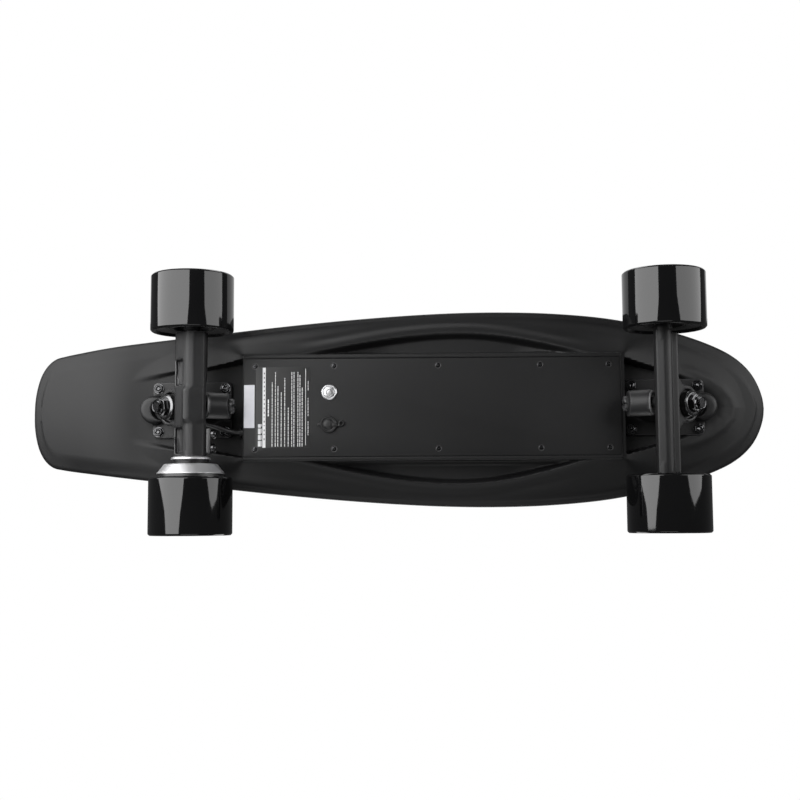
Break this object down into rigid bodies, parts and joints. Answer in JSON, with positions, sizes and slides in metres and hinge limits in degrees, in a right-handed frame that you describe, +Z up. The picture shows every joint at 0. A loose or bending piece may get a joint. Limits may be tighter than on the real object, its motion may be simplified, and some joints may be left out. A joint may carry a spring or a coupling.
{
  "type": "electric skateboard",
  "caption": "Short electric skateboard with a kicktail, a belly battery box, sprung trucks, a hub motor in the rear left wheel, a power button and a capped charge port.",
  "frame": {"origin": "middle of the board's footprint, on the ground under the wheels", "axes": "+X towards the rounded nose, the squared kicktail at -X; +Y to the left side, which carries the hub motor; +Z up through the deck"},
  "size_m": [0.712, 0.2356, 0.1416],
  "materials": {
    "deck_plastic": "satin moulded black with a fine grain",
    "grip": "black abrasive grit",
    "cover_metal": "matte black powder coat",
    "black_steel": "black oxide",
    "cell_wrap": "blue shrink wrap",
    "dark_plastic": "black plastic",
    "board_green": "green solder mask",
    "heat_sink": "bare aluminium",
    "button_chrome": "polished",
    "rubber": "matte black rubber",
    "bare_steel": "bare steel",
    "label": "printed sticker",
    "truck_paint": "satin black on cast aluminium",
    "bushing_urethane": "black urethane",
    "wheel_urethane": "glossy black urethane",
    "wheel_core": "black core",
    "silver_aluminium": "turned aluminium",
    "copper": "enamelled copper",
    "magnet": "nickel plated"
  },
  "bodies": {
    "deck": {"deck_shell": "deck_plastic", "grip_tape": "grip", "battery_cover": "cover_metal", "cover_screws": "black_steel", "battery_cells": "cell_wrap", "cell_holders": "dark_plastic", "controller_case": "heat_sink", "circuit_boards": "board_green", "power_button_housing": "dark_plastic", "charge_port": "dark_plastic", "charge_cap_anchor": "rubber", "panel_nuts": "bare_steel", "labels": "label", "motor_cable": "rubber", "cable_grommet": "rubber", "mounting_bolts": "black_steel", "mounting_nuts": "black_steel", "baseplate_front": "truck_paint", "baseplate_rear": "truck_paint", "pivot_cups": "rubber", "pivot_plugs": "dark_plastic", "kingpins": "black_steel", "kingpin_nuts": "black_steel", "bushing_washers": "bare_steel", "bushing_boardside_front": "bushing_urethane", "bushing_roadside_front": "bushing_urethane", "bushing_boardside_rear": "bushing_urethane", "bushing_roadside_rear": "bushing_urethane"},
    "power_button": {"power_button_cap": "button_chrome"},
    "port_cap": {"charge_port_cap": "rubber"},
    "truck_front": {"hanger_front": "truck_paint", "axle_front": "bare_steel", "axle_spacers_front": "bare_steel", "axle_nuts_front": "bare_steel"},
    "truck_rear": {"hanger_rear": "truck_paint", "axle_rear": "bare_steel", "axle_spacers_rear": "bare_steel", "axle_nuts_rear": "bare_steel", "motor_shaft": "bare_steel", "shaft_clamp": "truck_paint", "clamp_screws": "black_steel", "motor_collar": "silver_aluminium", "motor_seal": "rubber", "stator_core": "bare_steel", "stator_windings": "copper"},
    "motor_wheel": {"tyre_rear_left": "wheel_urethane", "rotor_can": "silver_aluminium", "rotor_magnets": "magnet", "motor_cover": "silver_aluminium", "motor_bearings": "bare_steel"},
    "wheel_front_left": {"tyre_front_left": "wheel_urethane", "wheel_core_front_left": "wheel_core", "wheel_bearings_front_left": "bare_steel"},
    "wheel_front_right": {"tyre_front_right": "wheel_urethane", "wheel_core_front_right": "wheel_core", "wheel_bearings_front_right": "bare_steel"},
    "wheel_rear_right": {"tyre_rear_right": "wheel_urethane", "wheel_core_rear_right": "wheel_core", "wheel_bearings_rear_right": "bare_steel"}
  },
  "joints": [
    {"name": "front_steer", "type": "hinge", "parent": "deck", "child": "truck_front", "pos_m": [0.2672, 0, 0.07], "axis": [0.8688, 0, 0.4952], "range_deg": [-12, 12], "stiffness_Nm_per_rad": 45, "deforming": ["bushing_boardside_front", "bushing_roadside_front"]},
    {"name": "rear_steer", "type": "hinge", "parent": "deck", "child": "truck_rear", "pos_m": [-0.2053, 0, 0.07], "axis": [-0.8688, 0, 0.4952], "range_deg": [-12, 12], "stiffness_Nm_per_rad": 45, "deforming": ["bushing_boardside_rear", "bushing_roadside_rear", "motor_cable"]},
    {"name": "front_left_spin", "type": "hinge", "parent": "truck_front", "child": "wheel_front_left", "pos_m": [0.2453, 0.0918, 0.0375], "axis": [0, 1, 0], "continuous": true},
    {"name": "front_right_spin", "type": "hinge", "parent": "truck_front", "child": "wheel_front_right", "pos_m": [0.2453, -0.0918, 0.0375], "axis": [0, 1, 0], "continuous": true},
    {"name": "rear_right_spin", "type": "hinge", "parent": "truck_rear", "child": "wheel_rear_right", "pos_m": [-0.1834, -0.0918, 0.0375], "axis": [0, 1, 0], "continuous": true},
    {"name": "rear_left_motor_spin", "type": "hinge", "parent": "truck_rear", "child": "motor_wheel", "pos_m": [-0.1834, 0.0918, 0.0375], "axis": [0, 1, 0], "continuous": true},
    {"name": "power_button_press", "type": "slide", "parent": "deck", "child": "power_button", "axis": [0, 0, 1], "range_m": [0, 0.0015], "stiffness_N_per_m": 600},
    {"name": "charge_cap_open", "type": "hinge", "parent": "deck", "child": "port_cap", "pos_m": [-0.0532, 0.0151, 0.0739], "axis": [0, -1, 0], "range_deg": [0, 100]}
  ]
}
